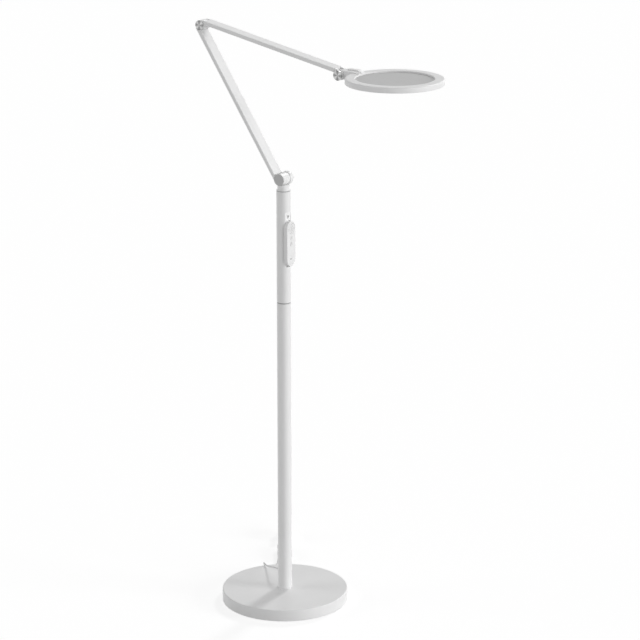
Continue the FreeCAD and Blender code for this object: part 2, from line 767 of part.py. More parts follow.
def remote():
    split_x = remote_x0 + remote_back_t
    face_x = remote_x1
    dial_z = remote_z1 - dial_from_top
    hang_z = remote_z1 - hang_from_top
    front = stadium(split_x, face_x, 0)
    front = rounded(front, remote_edge_r, lambda e: e.BoundBox.XMin > face_x - near)
    inner_x = face_x - remote_wall
    front = front.cut(stadium(split_x - over, inner_x, remote_wall))
    front = front.fuse(rod_x(hang_dish_d + 2 * boss_wall, split_x, inner_x, 0, hang_z))
    back = stadium(remote_x0, split_x, 0)
    back = rounded(back, remote_edge_r, lambda e: e.BoundBox.XMax < remote_x0 + near)
    back = back.cut(stadium(remote_x0 + remote_wall, split_x + over, remote_wall))
    back = back.fuse(rod_x(hang_dish_d + 2 * boss_wall, remote_x0 + remote_wall, split_x, 0, hang_z))
    hang_hole = rod_x(hang_hole_d, remote_x0 - over, face_x + over, 0, hang_z)
    front = front.cut(hang_hole)
    back = back.cut(hang_hole)
    dish_r = (hang_dish_d ** 2 / 4 + hang_dish_depth ** 2) / (2 * hang_dish_depth)
    dish = Part.makeSphere(dish_r, Vector(face_x + dish_r - hang_dish_depth, 0, hang_z))
    front = front.cut(dish)
    front = front.cut(rod_x(dial_d + 2 * dial_gap, split_x, face_x + over, 0, dial_z))
    for from_top in (preset_from_top, timer_from_top):
        button_z = remote_z1 - from_top
        front = front.cut(rod_x(small_button_d + 2 * button_gap, split_x, face_x + over, 0, button_z))
    nub = emitter(split_x)
    front = front.cut(nub)
    back = back.cut(nub)
    door_z = remote_z1 - battery_from_top
    door_d = battery_d + 2 * door_lip
    cell_x = remote_x0 + remote_wall
    back = back.cut(rod_x(door_d, remote_x0 - over, cell_x, 0, door_z))
    save("remote_front_shell", front.removeSplitter())
    save("remote_back_shell", back.removeSplitter())
    save("battery_door", rod_x(door_d - gap, remote_x0, cell_x, 0, door_z))
    board_x = cell_x + battery_t
    save("button_cell", rod_x(battery_d, cell_x, board_x, 0, door_z))
    board = stadium(board_x, board_x + remote_board_t, remote_wall + slip)
    board = board.cut(rod_x(hang_dish_d + 2 * (boss_wall + slip), 0, face_x, 0, hang_z))
    save("remote_board", board.cut(nub))
    save("ir_emitter", nub)
    flex_x = board_x + remote_board_t
    carrier_x = flex_x + remote_board_gap
    carrier = rod_x(carrier_d, carrier_x, carrier_x + carrier_t, 0, dial_z)
    half_l = carrier_d / 2 - ridge_short
    ridge_x = carrier_x + carrier_t + rock_gap
    ridge = box(carrier_x, ridge_x, -ridge_w / 2, ridge_w / 2, dial_z - half_l, dial_z + half_l)
    carrier = carrier.fuse(ridge)
    power_bore = power_d + 2 * dial_gap
    save("dial_carrier", carrier.cut(rod_x(power_bore, 0, face_x, 0, dial_z)))
    ring_x = ridge_x + slip
    dial = rod_x(dial_d, ring_x, face_x + dial_proud, 0, dial_z)
    dial = rounded(dial, dial_edge_r, lambda e: e.BoundBox.XMin > face_x)
    save("dial_ring", dial.cut(rod_x(power_bore, 0, pole_d, 0, dial_z)))
    power = rod_x(power_d, flex_x + remote_board_gap, face_x + dial_proud, 0, dial_z)
    save("power_button", rounded(power, dial_edge_r, lambda e: e.BoundBox.XMin > face_x))
    save("preset_button", small_button(remote_z1 - preset_from_top, small_button_d, face_x))
    save("timer_button", small_button(remote_z1 - timer_from_top, small_button_d, face_x))


def emitter(split_x):
    """The infrared emitter that stands out of the remote's top end."""
    return upright(nub_d, remote_z1 - nub_root, remote_z1 + nub_proud, split_x, 0)


# Cable: rounded runs, a hank from a formula, and the adapter


def back_of(side, away, z):
    """A point given sideways and away behind the pole along the storage line."""
    a = math.radians(store_turn)
    return Vector(
        side * math.cos(a) - away * math.sin(a), side * math.sin(a) + away * math.cos(a), z
    )


def biarc(p0, t0, p1, t1):
    """Two tangent arcs, or one straight edge, from one point and direction to another."""
    chord = p1 - p0
    if t0.cross(chord).Length < 1e-6 * chord.Length and t1.cross(chord).Length < 1e-6 * chord.Length:
        return [Part.LineSegment(p0, p1).toShape()]
    t = t0 + t1
    a = 2 * (1 - t0.dot(t1))
    b = 2 * chord.dot(t)
    c = -chord.dot(chord)
    reach = -c / b if abs(a) < 1e-9 else (-b + math.sqrt(b * b - 4 * a * c)) / (2 * a)
    q0, q1 = p0 + t0 * reach, p1 - t1 * reach
    middle = (q0 + q1) * 0.5
    return [arc_by_corner(p0, q0, middle), arc_by_corner(middle, q1, p1)]


def arc_by_corner(start, corner, end):
    """The arc that leaves start towards the corner and arrives at end from it."""
    mid = (start + end) * 0.5
    cos_half = (corner - mid).Length
    cos_half = math.sqrt(max(0.0, 1 - (cos_half / (corner - start).Length) ** 2))
    if cos_half > 1 - 1e-9:
        return Part.LineSegment(start, end).toShape()
    top = mid + (corner - mid) * (cos_half / (1 + cos_half))
    return Part.Arc(start, top, end).toShape()


def rounded_path(points, name):
    """Straight runs joined by tangent arcs, each as large as its two runs allow."""
    edges, here, radii = [], points[0], []
    for before, corner, after in zip(points, points[1:], points[2:]):
        back, on = before - corner, after - corner
        half = (math.pi - back.getAngle(on)) / 2
        cut = bend_share * min(back.Length, on.Length)
        radii.append(cut / math.tan(half))
        start = corner + back.normalize() * cut
        end = corner + on.normalize() * cut
        edges.append(Part.LineSegment(here, start).toShape())
        edges.append(arc_by_corner(start, corner, end))
        here = end
    edges.append(Part.LineSegment(here, points[-1]).toShape())
    print(name, "radii", [round(r, 1) for r in radii], "least", round(min(radii), 1))
    return Part.Wire(edges)


def tube(path, name):
    """A round tube along a path, with its volume compared with its section times its length."""
    first = path.OrderedEdges[0]
    direction = first.tangentAt(first.FirstParameter)
    start = first.valueAt(first.FirstParameter)
    section = Part.Wire(Part.makeCircle(cord_r, start, direction))
    solid = path.makePipeShell([section], True, False)
    expected = math.pi * cord_r ** 2 * path.Length
    print(name, "length", round(path.Length, 1), "volume share", round(solid.Volume / expected, 4))
    return solid


def hank_station(k):
    """The hank's point and direction at a station, eight to each loop."""
    layer = max(0, math.ceil(k / hank_layer_stations) - 1)
    outward = abs((k / hank_layer_stations) % 2 - 1)
    half_w = hank_in + hank_pitch * hank_layer_stations / loop_stations * outward
    half_l = hank_run / 2
    z = cord_r + layer * hank_pitch
    side, away, toward = {
        0: (-(half_w - hank_draw), 0, (0, 1)),
        1: (-half_w, half_l, (0, 1)),
        2: (0, half_l + half_w, (1, 0)),
        3: (half_w, half_l, (0, -1)),
        4: (half_w - hank_draw, 0, (0, -1)),
        5: (half_w, -half_l, (0, -1)),
        6: (0, -half_l - half_w, (-1, 0)),
        7: (-half_w, -half_l, (0, 1)),
    }[k % loop_stations]
    return back_of(side, hank_mid + away, z), back_of(*toward, 0)


def hank_path():
    last = hank_layers * hank_layer_stations
    stations = [hank_station(k) for k in range(last + 1)]
    enter, heading = hank_enter()
    leave = hank_leave()
    stub = heading * cord_d
    edges = [Part.LineSegment(enter - stub, enter).toShape()]
    for (p0, t0), (p1, t1) in zip([(enter, heading)] + stations, stations + [(leave, heading)]):
        edges += biarc(p0, t0, p1, t1)
    edges.append(Part.LineSegment(leave, leave + stub).toShape())
    return Part.Wire(edges)


def hank_outer():
    return hank_in + hank_pitch * (hank_layer_stations + 1) / loop_stations


def hank_enter():
    """Where the lead joins the hank's outer loop, on the floor."""
    return back_of(-hank_outer(), hank_mid - hank_run / 2, cord_r), back_of(0, 1, 0)


def hank_leave():
    """Where the lead leaves the hank's top layer."""
    z = cord_r + (hank_layers - 1) * hank_pitch
    return back_of(-hank_outer(), hank_mid + hank_run / 2, z)


def least_gap(path):
    """The least gap between a path's own turns, measured on points along it."""
    points = path.discretize(Distance=gap_step)
    lengths = [0.0]
    for a, b in zip(points, points[1:]):
        lengths.append(lengths[-1] + (b - a).Length)
    least = 1e9
    for i, a in enumerate(points):
        for j in range(i + 1, len(points)):
            if lengths[j] - lengths[i] > gap_skip * cord_d:
                least = min(least, (points[j] - a).Length)
    return least - cord_d


def cord_points():
    """The lead from the gland's tip over the rim of the base and down to the hank."""
    enter, heading = hank_enter()
    tip = cord_exit_axis() * (pole_r + gland_l)
    first = Vector(tip.x, tip.y, cord_z)
    joining = back_of(-hank_outer(), hank_approach, cord_r)
    return [first] + [back_of(*p) for p in cord_route] + [joining, enter - heading * cord_d]


def lead_points():
    """The short lead from the hank's top layer to the adapter."""
    leave = hank_leave()
    heading = back_of(0, 1, 0)
    away = hank_mid + hank_run / 2
    points = [leave + heading * cord_d, back_of(-hank_outer(), away + lead_straight, leave.z)]
    points += [back_of(side, away + on, leave.z - drop) for side, on, drop in lead_route]
    return points + [back_of(0, away + lead_l, leave.z - lead_route[-1][2])]


def cable():
    axis = cord_exit_axis()
    start = axis * (bore_r - grommet_in)
    start.z = cord_z
    grommet = Part.makeCylinder(gland_d / 2 - slip, pole_wall + grommet_in, start, axis)
    flange = Part.makeCylinder(gland_d / 2 + grommet_lip, grommet_lip_t, start, axis)
    neck_at = axis * pole_r
    neck_at.z = cord_z
    cone = Part.makeCone(gland_d / 2 - slip, gland_tip_d / 2, gland_l, neck_at, axis)
    save("cord_gland", grommet.fuse([flange, cone]).removeSplitter())
    save("power_cord", tube(rounded_path(cord_points(), "power_cord"), "power_cord"))
    path = hank_path()
    print("hank least gap", round(least_gap(path), 2))
    save("cord_hank", tube(path, "cord_hank"))
    lead = lead_points()
    save("cord_lead", tube(rounded_path(lead, "cord_lead"), "cord_lead"))
    tie()
    adapter(lead[-1])


def storage_placement(away):
    """Puts a piece drawn at the origin, with +Y away from the pole, on the storage line."""
    return FreeCAD.Placement(back_of(0, away, 0), Rotation(Vector(0, 0, 1), store_turn))


def tie():
    """The band round the waist of the hank."""
    half_w = hank_outer() - hank_draw + cord_r + gap
    top = 2 * cord_r + (hank_layers - 1) * hank_pitch + gap
    outer = box(-half_w - tie_t, half_w + tie_t, -tie_w / 2, tie_w / 2, 0, top + tie_t)
    outer = rounded(outer, cord_r, lambda e: runs_along(e, "y") and e.BoundBox.ZMax > top)
    band = outer.cut(box(-half_w, half_w, -tie_w, tie_w, -over, top))
    band.Placement = storage_placement(hank_mid)
    save("cord_tie", band)


def adapter(joint):
    """The plug-in power supply: a relief, a case and two blades."""
    z = joint.z
    relief = Part.makeCone(gland_tip_d / 2, gland_d / 2, adapter_gap, Vector(0, 0, z), Vector(0, 1, 0))
    y0 = adapter_gap
    case = box(-adapter_w / 2, adapter_w / 2, y0, y0 + adapter_l, 0, adapter_h)
    case = case.makeFillet(adapter_edge_r, case.Edges)
    blades = []
    for side in (-1, 1):
        x = side * blade_spread / 2
        y1 = y0 + adapter_l
        z0, z1 = (adapter_h - blade_w) / 2, (adapter_h + blade_w) / 2
        blades.append(box(x - blade_t / 2, x + blade_t / 2, y1, y1 + blade_l, z0, z1))
    away = hank_mid + hank_run / 2 + lead_l
    for node, shapes in (("adapter_case", [case.fuse(relief)]), ("adapter_blades", blades)):
        for shape in shapes:
            shape.Placement = storage_placement(away).multiply(shape.Placement)
        save(node, *shapes)


def pole_wire():
    """The lead inside the pole, resting on the coupler's bore, from the gland to the swivel."""
    side = cord_exit_axis() * (coupler_bore_d / 2 - wire_d / 2 - slip)
    z0 = cord_z + gland_d
    z1 = pole_top_z - bush_reach - swivel_washer_t - 2 * swivel_nut_t
    save("pole_wire", upright(wire_d, z0, z1, side.x, side.y))


def main():
    os.makedirs("parts", exist_ok=True)
    base()
    pole()
    dock()
    neck()
    lower_arm()
    upper_arm()
    head()
    remote()
    cable()
    pole_wire()
    for name, at in (("hinge_1", hinge_1), ("hinge_2", hinge_2), ("hinge_3", hinge_3)):
        print(name, [round(v, 3) for v in at])


main()
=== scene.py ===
import bpy
import json
import math
from mathutils import Matrix, Vector


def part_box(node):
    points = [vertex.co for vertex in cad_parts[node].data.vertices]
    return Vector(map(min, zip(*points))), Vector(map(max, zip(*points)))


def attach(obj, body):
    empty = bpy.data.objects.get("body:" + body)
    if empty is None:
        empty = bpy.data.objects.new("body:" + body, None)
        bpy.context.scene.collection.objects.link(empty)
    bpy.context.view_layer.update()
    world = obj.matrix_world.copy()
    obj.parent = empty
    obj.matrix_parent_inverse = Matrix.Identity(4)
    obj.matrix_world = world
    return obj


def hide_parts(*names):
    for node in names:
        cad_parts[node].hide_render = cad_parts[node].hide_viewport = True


# The LED floor lamp's looks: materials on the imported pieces, the soft lead, the printed signs on the
# remote control, a pale studio and the camera. Lengths are metres and angles degrees.

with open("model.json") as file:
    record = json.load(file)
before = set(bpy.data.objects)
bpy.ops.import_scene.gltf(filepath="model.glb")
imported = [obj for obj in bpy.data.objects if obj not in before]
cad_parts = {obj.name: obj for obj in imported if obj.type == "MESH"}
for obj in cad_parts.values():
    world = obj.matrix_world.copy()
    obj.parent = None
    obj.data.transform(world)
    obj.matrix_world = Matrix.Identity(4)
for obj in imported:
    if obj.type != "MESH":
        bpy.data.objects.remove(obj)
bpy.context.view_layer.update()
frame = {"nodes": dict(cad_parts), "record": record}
NODES = frame["nodes"]
scene = bpy.context.scene

# Camera: a long lens from the front right, solved from the round base, the round head and the pole
CAM_DISTANCE = 5.4783
CAM_HEIGHT = 2.2428
CAM_AZIMUTH = 35.95
CAM_PITCH = 16.22
CAM_YAW = 0.82
FOCAL_PX = 2619.0
IMAGE_PX = 640.0
SENSOR_MM = 36.0
CLIP_END = 50

# The lead's sizes, as in the part's source, in millimetres
CORD_D = 3.2
CORD_R = CORD_D / 2
STORE_TURN = 36.0
CORD_TURN = 110.0
CORD_Z = 54.0
GLAND_TIP_R = 35.4
HANK_MID = 250.0
HANK_RUN = 58.0
HANK_IN = 9.8
HANK_PITCH = 3.85
HANK_DRAW = 2.0
HANK_LAYERS = 4
LAYER_STATIONS = 12
LOOP_STATIONS = 8
HANK_OUTER = HANK_IN + HANK_PITCH * (LAYER_STATIONS + 1) / LOOP_STATIONS
HANK_TOP = CORD_R + (HANK_LAYERS - 1) * HANK_PITCH
LEAD_L = 55.0
FOLD_POINTS = 6

# Light: the strength of the even fill, then each distant light's name, strength, turn to the camera's
# right from the line towards the camera, height and softness
FILL = 0.3
SUNS = (
    ("key", 0.98, 150, 35, 10),
    ("front", 0.86, 45, 6, 25),
    ("left", 0.66, -90, 20, 30),
    ("right", 1.12, 75, 15, 20),
)

# Floor: its size and its drop below the pad in metres, its glow, the part of its white that shadows can
# darken, and the tone that lights the lamp from below
FLOOR_SIZE = 60
FLOOR_DROP = 0.0002
FLOOR_GLOW = 0.758
FLOOR_SHADOW = 0.35
FLOOR_BOUNCE = 0.72


def back_of(side, away, z):
    """A point sideways and away behind the pole on the storage line, in metres."""
    a = math.radians(STORE_TURN)
    x = side * math.cos(a) - away * math.sin(a)
    y = side * math.sin(a) + away * math.cos(a)
    return Vector((x, y, z)) / 1000


def camera():
    """The photograph's camera."""
    phi, pitch, yaw = (math.radians(v) for v in (CAM_AZIMUTH, CAM_PITCH, CAM_YAW))
    away = Vector((-math.sin(phi), math.cos(phi), 0))
    right = Vector((math.cos(phi), math.sin(phi), 0))
    ahead = away * math.cos(yaw) + right * math.sin(yaw)
    forward = ahead * math.cos(pitch) - Vector((0, 0, math.sin(pitch)))
    side = right * math.cos(yaw) - away * math.sin(yaw)
    up = side.cross(forward)
    data = bpy.data.cameras.new("camera")
    data.sensor_width = SENSOR_MM
    data.lens = FOCAL_PX * SENSOR_MM / IMAGE_PX
    data.clip_end = CLIP_END
    cam = bpy.data.objects.new("camera", data)
    scene.collection.objects.link(cam)
    turn = Matrix((side, up, -forward)).transposed().to_4x4()
    cam.matrix_world = Matrix.Translation(-away * CAM_DISTANCE + Vector((0, 0, CAM_HEIGHT))) @ turn
    scene.camera = cam


def lead_points():
    """The whole lead in one line: over the base's rim, through the hank and to the adapter.

    Over the base it lies a few millimetres lower than the source's tube.
    """
    exit_turn = math.radians(STORE_TURN + CORD_TURN)
    tip = Vector((math.cos(exit_turn), math.sin(exit_turn), 0)) * GLAND_TIP_R / 1000
    tip.z = CORD_Z / 1000
    points = [tip]
    for side, away, z in (
        (-20.5, 56.4, 50.0),
        (-30.0, 83.0, 41.0),
        (-38.5, 107.0, 33.0),
        (-44.5, 125.5, 29.2),
        (-48.5, 143.0, 28.6),
        (-48.0, 158.0, 18.0),
        (-42.5, 168.5, 8.5),
        (-33.0, 180.0, CORD_R),
        (-22.5, 191.0, CORD_R),
        (-HANK_OUTER, 203.5, CORD_R),
        (-HANK_OUTER, HANK_MID - HANK_RUN / 2, CORD_R),
    ):
        points.append(back_of(side, away, z))
    points += hank_points()
    away = HANK_MID + HANK_RUN / 2
    for side, on, z in (
        (-HANK_OUTER, 0.0, HANK_TOP),
        (-HANK_OUTER, 13.0, HANK_TOP),
        (-10.5, 24.0, HANK_TOP - 2.0),
        (-3.6, 33.5, HANK_TOP - 2.4),
        (0.0, 44.0, HANK_TOP - 1.0),
        (0.0, LEAD_L, HANK_TOP - 1.0),
    ):
        points.append(back_of(side, away + on, z))
    return points


def hank_width(k):
    """Half the hank's width at a station, which narrows and widens at a steady rate."""
    outward = abs((k / LAYER_STATIONS) % 2 - 1)
    return HANK_IN + HANK_PITCH * LAYER_STATIONS / LOOP_STATIONS * outward


def hank_height(k):
    """The height of the lead's middle at a station, one layer up at a time."""
    layer = max(0, math.ceil(k / LAYER_STATIONS) - 1)
    return CORD_R + min(layer, HANK_LAYERS - 1) * HANK_PITCH


def hank_points():
    """The hank's turns by the source's formula: round folds, with each waist drawn in."""
    half_l = HANK_RUN / 2
    half_step = math.radians(90 / FOLD_POINTS)
    points = [back_of(-hank_width(0) + HANK_DRAW, HANK_MID, hank_height(0))]
    for fold in range(HANK_LAYERS * LAYER_STATIONS * 2 // LOOP_STATIONS):
        way = 1 if fold % 2 == 0 else -1
        start = 1 + fold * LOOP_STATIONS / 2
        lead_in = half_l - hank_width(start) * math.tan(half_step)
        points.append(back_of(-way * hank_width(start), HANK_MID + way * lead_in, hank_height(start)))
        for j in range(FOLD_POINTS):
            turn = half_step * (2 * j + 1)
            k = start + 2 * turn / math.pi
            radius = hank_width(k) / math.cos(half_step)
            side = -way * radius * math.cos(turn)
            away = way * (half_l + radius * math.sin(turn))
            points.append(back_of(side, HANK_MID + away, hank_height(k)))
        end = start + 2
        lead_out = half_l - hank_width(end) * math.tan(half_step)
        points.append(back_of(way * hank_width(end), HANK_MID + way * lead_out, hank_height(end)))
        waist = end + 1
        points.append(back_of(way * (hank_width(waist) - HANK_DRAW), HANK_MID, hank_height(waist)))
    return points


def lead_curve():
    """The lead as one smooth round curve through its list of points."""
    data = bpy.data.curves.new("lead", "CURVE")
    data.dimensions = "3D"
    data.bevel_depth = CORD_R / 1000
    data.bevel_resolution = 6
    data.resolution_u = 10
    spline = data.splines.new("NURBS")
    points = lead_points()
    spline.points.add(len(points) - 1)
    for control, point in zip(spline.points, points):
        control.co = (*point, 1)
    spline.order_u = 3
    spline.use_endpoint_u = True
    curve = bpy.data.objects.new("lead", data)
    scene.collection.objects.link(curve)
    return curve


# Materials: object coordinates are the lamp's own frame, so every pattern has its real size
# Spun caps: how many dark sectors of painted shade go round each cap, and how much darker they are painted
SPUN_PAINTED_LOBES = 4
SPUN_PAINTED_SHADE = 0.6


def tone(level, warm=0.0):
    """A grey written as the screen shows it, from 0 to 255, as a linear colour."""
    value = level / 255
    linear = ((value + 0.055) / 1.055) ** 2.4
    return (linear * (1 + warm), linear, linear * (1 - warm), 1)


class Look:
    """A material with a Principled shader, and short calls for the nodes that feed it."""

    def __init__(self, name, color, roughness, metallic=0.0):
        self.mat = bpy.data.materials.new(name)
        self.mat.use_nodes = True
        self.tree = self.mat.node_tree
        self.shader = self.tree.nodes["Principled BSDF"]
        self.shader.inputs["Base Color"].default_value = color
        self.shader.inputs["Roughness"].default_value = roughness
        self.shader.inputs["Metallic"].default_value = metallic
        self.color = color
        self.roughness = roughness
        self.place = self.node("ShaderNodeTexCoord").outputs["Object"]

    def node(self, kind, **settings):
        made = self.tree.nodes.new(kind)
        for key, value in settings.items():
            setattr(made, key, value)
        return made

    def join(self, source, target):
        self.tree.links.new(source, target)

    def stretched(self, scale):
        """Coordinates scaled unevenly, for a pattern with a direction."""
        mapping = self.node("ShaderNodeMapping")
        mapping.inputs["Scale"].default_value = scale
        self.join(self.place, mapping.inputs["Vector"])
        return mapping.outputs["Vector"]

    def noise(self, scale, detail=2.0, place=None):
        """Noise whose cells are about 1 / scale metres wide."""
        tex = self.node("ShaderNodeTexNoise")
        tex.inputs["Scale"].default_value = scale
        tex.inputs["Detail"].default_value = detail
        self.join(place or self.place, tex.inputs["Vector"])
        return tex.outputs["Fac"]

    def cells(self, scale, feature="F1", place=None):
        """Cells about 1 / scale metres wide, each with its distance from its centre or its edge."""
        tex = self.node("ShaderNodeTexVoronoi", feature=feature)
        tex.inputs["Scale"].default_value = scale
        self.join(place or self.place, tex.inputs["Vector"])
        return tex.outputs["Distance"]

    def spread(self, factor, low, high, start=0.3, stop=0.7):
        """A factor mapped from its usual range to a range of values."""
        ranged = self.node("ShaderNodeMapRange")
        for key, value in (("From Min", start), ("From Max", stop), ("To Min", low), ("To Max", high)):
            ranged.inputs[key].default_value = value
        self.join(factor, ranged.inputs["Value"])
        return ranged.outputs["Result"]

    def combined(self, a, b, operation="ADD"):
        """Two factors, or a factor and a number, put through one operation."""
        math_node = self.node("ShaderNodeMath", operation=operation)
        self.join(a, math_node.inputs[0])
        if isinstance(b, float):
            math_node.inputs[1].default_value = b
        else:
            self.join(b, math_node.inputs[1])
        return math_node.outputs[0]

    def blend(self, factor, low, high):
        """The shader's base colour, between a low and a high one by a factor."""
        mix = self.node("ShaderNodeMix", data_type="RGBA")
        mix.inputs[6].default_value = low
        mix.inputs[7].default_value = high
        self.join(factor, mix.inputs[0])
        self.join(mix.outputs[2], self.shader.inputs["Base Color"])

    def shaded(self, factor, amount):
        """The material's colour, darker by an amount where the factor is low."""
        dark = tuple(c * (1 - amount) for c in self.color[:3]) + (1,)
        self.blend(factor, dark, self.color)

    def worn(self, factor, amount):
        """The material's roughness, varied both ways by an amount."""
        rough = self.spread(factor, self.roughness - amount, self.roughness + amount)
        self.join(rough, self.shader.inputs["Roughness"])

    def bumped(self, height, depth, strength=1.0):
        """Relief of a real depth in metres."""
        bump = self.node("ShaderNodeBump")
        bump.inputs["Strength"].default_value = strength
        bump.inputs["Distance"].default_value = depth
        self.join(height, bump.inputs["Height"])
        self.join(bump.outputs["Normal"], self.shader.inputs["Normal"])

    def set(self, **sockets):
        """The shader's own values, by socket name with _ for a space."""
        for key, value in sockets.items():
            self.shader.inputs[key.replace("_", " ")].default_value = value
        return self


def powder_coat(name, color):
    """Satin powder coat: a fine orange peel, with faint clouding and a few dull rubbed places."""
    look = Look(name, color, 0.42)
    cloud = look.noise(9, 3)
    look.shaded(look.spread(cloud, 0, 1), 0.035)
    look.worn(look.noise(55, 4), 0.06)
    peel = look.combined(look.noise(900, 2), look.combined(look.noise(2600, 1), 0.4, "MULTIPLY"))
    look.bumped(peel, 0.00006, 0.6)
    return look.set(Coat_Weight=0.12, Coat_Roughness=0.3)


def moulded(name, color, roughness=0.46, grain=3200, depth=0.00004, cloud=0.03):
    """Moulded plastic: spark-eroded grain and slight flow clouding."""
    look = Look(name, color, roughness)
    look.shaded(look.spread(look.noise(22, 3), 0, 1), cloud)
    look.worn(look.noise(240, 3), 0.05)
    look.bumped(look.noise(grain, 3), depth, 0.7)
    return look.set(Specular_IOR_Level=0.45)


def spun(node, color):
    """A disc turned on a lathe: fine rings, with painted shade in four dark sectors between painted
    highlight rays in its colour.
    """
    look = Look(node, color, 0.3, 1.0)
    low, high = (Vector(corner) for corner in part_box(node))
    centred = look.node("ShaderNodeVectorMath", operation="SUBTRACT")
    look.join(look.place, centred.inputs[0])
    centred.inputs[1].default_value = (low + high) / 2
    axes = look.node("ShaderNodeSeparateXYZ")
    look.join(centred.outputs["Vector"], axes.inputs["Vector"])
    # Painted shade and painted highlight: the colour darkens and lightens in sectors round the cap's axis,
    # standing in for the bright rays that turned rings reflect
    turn = look.combined(axes.outputs["Z"], axes.outputs["X"], "ARCTAN2")
    painted_lobes = look.node("ShaderNodeMath", operation="COSINE")
    look.join(look.combined(turn, float(SPUN_PAINTED_LOBES), "MULTIPLY"), painted_lobes.inputs[0])
    painted_spokes = look.spread(painted_lobes.outputs[0], 1, 0, -1, 1)
    look.shaded(look.combined(painted_spokes, look.spread(look.noise(300, 4), -0.1, 0.1)), SPUN_PAINTED_SHADE)
    look.worn(look.noise(900, 3), 0.05)
    tangent = look.node("ShaderNodeTangent", direction_type="RADIAL", axis="Y")
    look.join(tangent.outputs["Tangent"], look.shader.inputs["Tangent"])
    return look.set(Anisotropic=0.85)


def plated(name, color, roughness=0.34):
    """Zinc-plated or polished metal with drawing marks and dull patches."""
    look = Look(name, color, roughness, 1.0)
    marks = look.noise(180, 4, look.stretched((1, 1, 9)))
    look.shaded(look.spread(marks, 0, 1), 0.16)
    look.worn(look.noise(420, 3), 0.08)
    look.bumped(marks, 0.00002, 0.5)
    return look


def cast(name, color):
    """Grey iron as cast: sandy skin with small pits."""
    look = Look(name, color, 0.72, 0.25)
    sand = look.combined(look.noise(420, 6), look.cells(260), "MULTIPLY")
    look.shaded(look.spread(sand, 0, 1, 0.05, 0.4), 0.35)
    look.worn(look.noise(120, 4), 0.1)
    look.bumped(sand, 0.0004, 0.8)
    return look


def rubber(name, color, roughness, grain, depth):
    """A soft jacket or pad, dull with a fine skin."""
    look = Look(name, color, roughness)
    look.shaded(look.spread(look.noise(70, 4), 0, 1), 0.07)
    look.worn(look.noise(300, 3), 0.06)
    look.bumped(look.noise(grain, 4), depth, 0.8)
    return look.set(Sheen_Weight=0.08)


def circuit(name):
    """A green board with lighter tracks under its solder mask."""
    look = Look(name, (0.02, 0.13, 0.05, 1), 0.35)
    tracks = look.cells(420, "DISTANCE_TO_EDGE")
    lines = look.spread(tracks, 1, 0, 0.03, 0.09)
    look.blend(lines, (0.02, 0.12, 0.05, 1), (0.06, 0.26, 0.11, 1))
    look.worn(look.noise(500, 2), 0.06)
    look.bumped(lines, 0.00004, 0.8)
    return look


def led_tape(name):
    """A strip of chips, their coating yellow to cream."""
    look = Look(name, tone(232), 0.4)
    look.blend(look.spread(look.noise(800, 3), 0, 1), (0.80, 0.66, 0.22, 1), (0.86, 0.80, 0.62, 1))
    look.worn(look.noise(900, 2), 0.06)
    look.bumped(look.cells(700), 0.00004, 0.6)
    return look


def prismatic(name, color, roughness):
    """A diffuser sheet pressed with a fine waffle of pyramids."""
    look = Look(name, color, roughness)
    look.shaded(look.spread(look.noise(16, 3), 0, 1), 0.03)
    look.worn(look.noise(130, 3), 0.04)
    look.bumped(look.cells(1100, place=look.stretched((1, 1, 0.01))), 0.00008, 0.6)
    return look


def acrylic(name):
    """Clear sheet with the printed dots that let the light out."""
    look = Look(name, (0.86, 0.90, 0.90, 1), 0.12)
    dots = look.cells(360)
    look.blend(look.spread(dots, 0, 1, 0.2, 0.45), (0.93, 0.93, 0.92, 1), (0.80, 0.86, 0.86, 1))
    look.bumped(dots, 0.00005, 0.4)
    return look.set(Transmission_Weight=0.5, IOR=1.49)


def printed_ink(name):
    """Grey ink, uneven over the grain below it."""
    look = Look(name, tone(92), 0.6)
    look.shaded(look.spread(look.noise(2400, 3), 0, 1), 0.15)
    look.worn(look.noise(1500, 2), 0.08)
    return look


LOOKS = {
    "white_steel": powder_coat("white_steel", tone(240)),
    "white_aluminium": powder_coat("white_aluminium", tone(240)),
    "white_plastic": moulded("white_plastic", tone(240)),
    "grey_plastic": moulded("grey_plastic", tone(176), 0.5),
    "dark_plastic": moulded("dark_plastic", tone(112), 0.55, cloud=0.06),
    "iron": cast("iron", tone(86)),
    "pad_rubber": rubber("pad_rubber", tone(64), 0.78, 1500, 0.00012),
    "steel": plated("steel", tone(202)),
    "nylon": moulded("nylon", tone(216, 0.02), 0.4),
    "board": circuit("board"),
    "led": led_tape("led"),
    "panel_grey": prismatic("panel_grey", tone(193), 0.5),
    "opal": prismatic("opal", tone(243), 0.38),
    "acrylic": acrylic("acrylic"),
    "cable": rubber("cable", tone(226), 0.55, 2200, 0.00005),
    "contact": plated("contact", (0.78, 0.58, 0.26, 1), 0.22),
    "cell": plated("cell", tone(214), 0.2),
    "button_grey": moulded("button_grey", tone(236), 0.42),
}
OWN_LOOKS = {
    "dock_plate": moulded("dock_plate", tone(246), 0.4),
    "top_panel": LOOKS["panel_grey"],
    "pole_key": moulded("pole_key", tone(160), 0.45),
    "hub_cap": moulded("hub_cap", tone(200), 0.5, cloud=0.02),
    "elbow_caps": spun("elbow_caps", tone(200)),
    "head_caps": spun("head_caps", tone(200)),
}
INK = printed_ink("ink")


def dress():
    """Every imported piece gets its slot's material, or its own."""
    slots = {part["node"]: part["material_slot"] for part in frame["record"]["subparts"]}
    for name, piece in NODES.items():
        look = OWN_LOOKS.get(name) or LOOKS[slots[name]]
        piece.data.materials.clear()
        piece.data.materials.append(look.mat)


def arc(radius, start, stop, across=0.0, up=0.0, steps=24):
    """Points of an arc, with its angles counted from straight right."""
    turns = [math.radians(start + (stop - start) * k / steps) for k in range(steps + 1)]
    return [(across + radius * math.cos(t), up + radius * math.sin(t)) for t in turns]


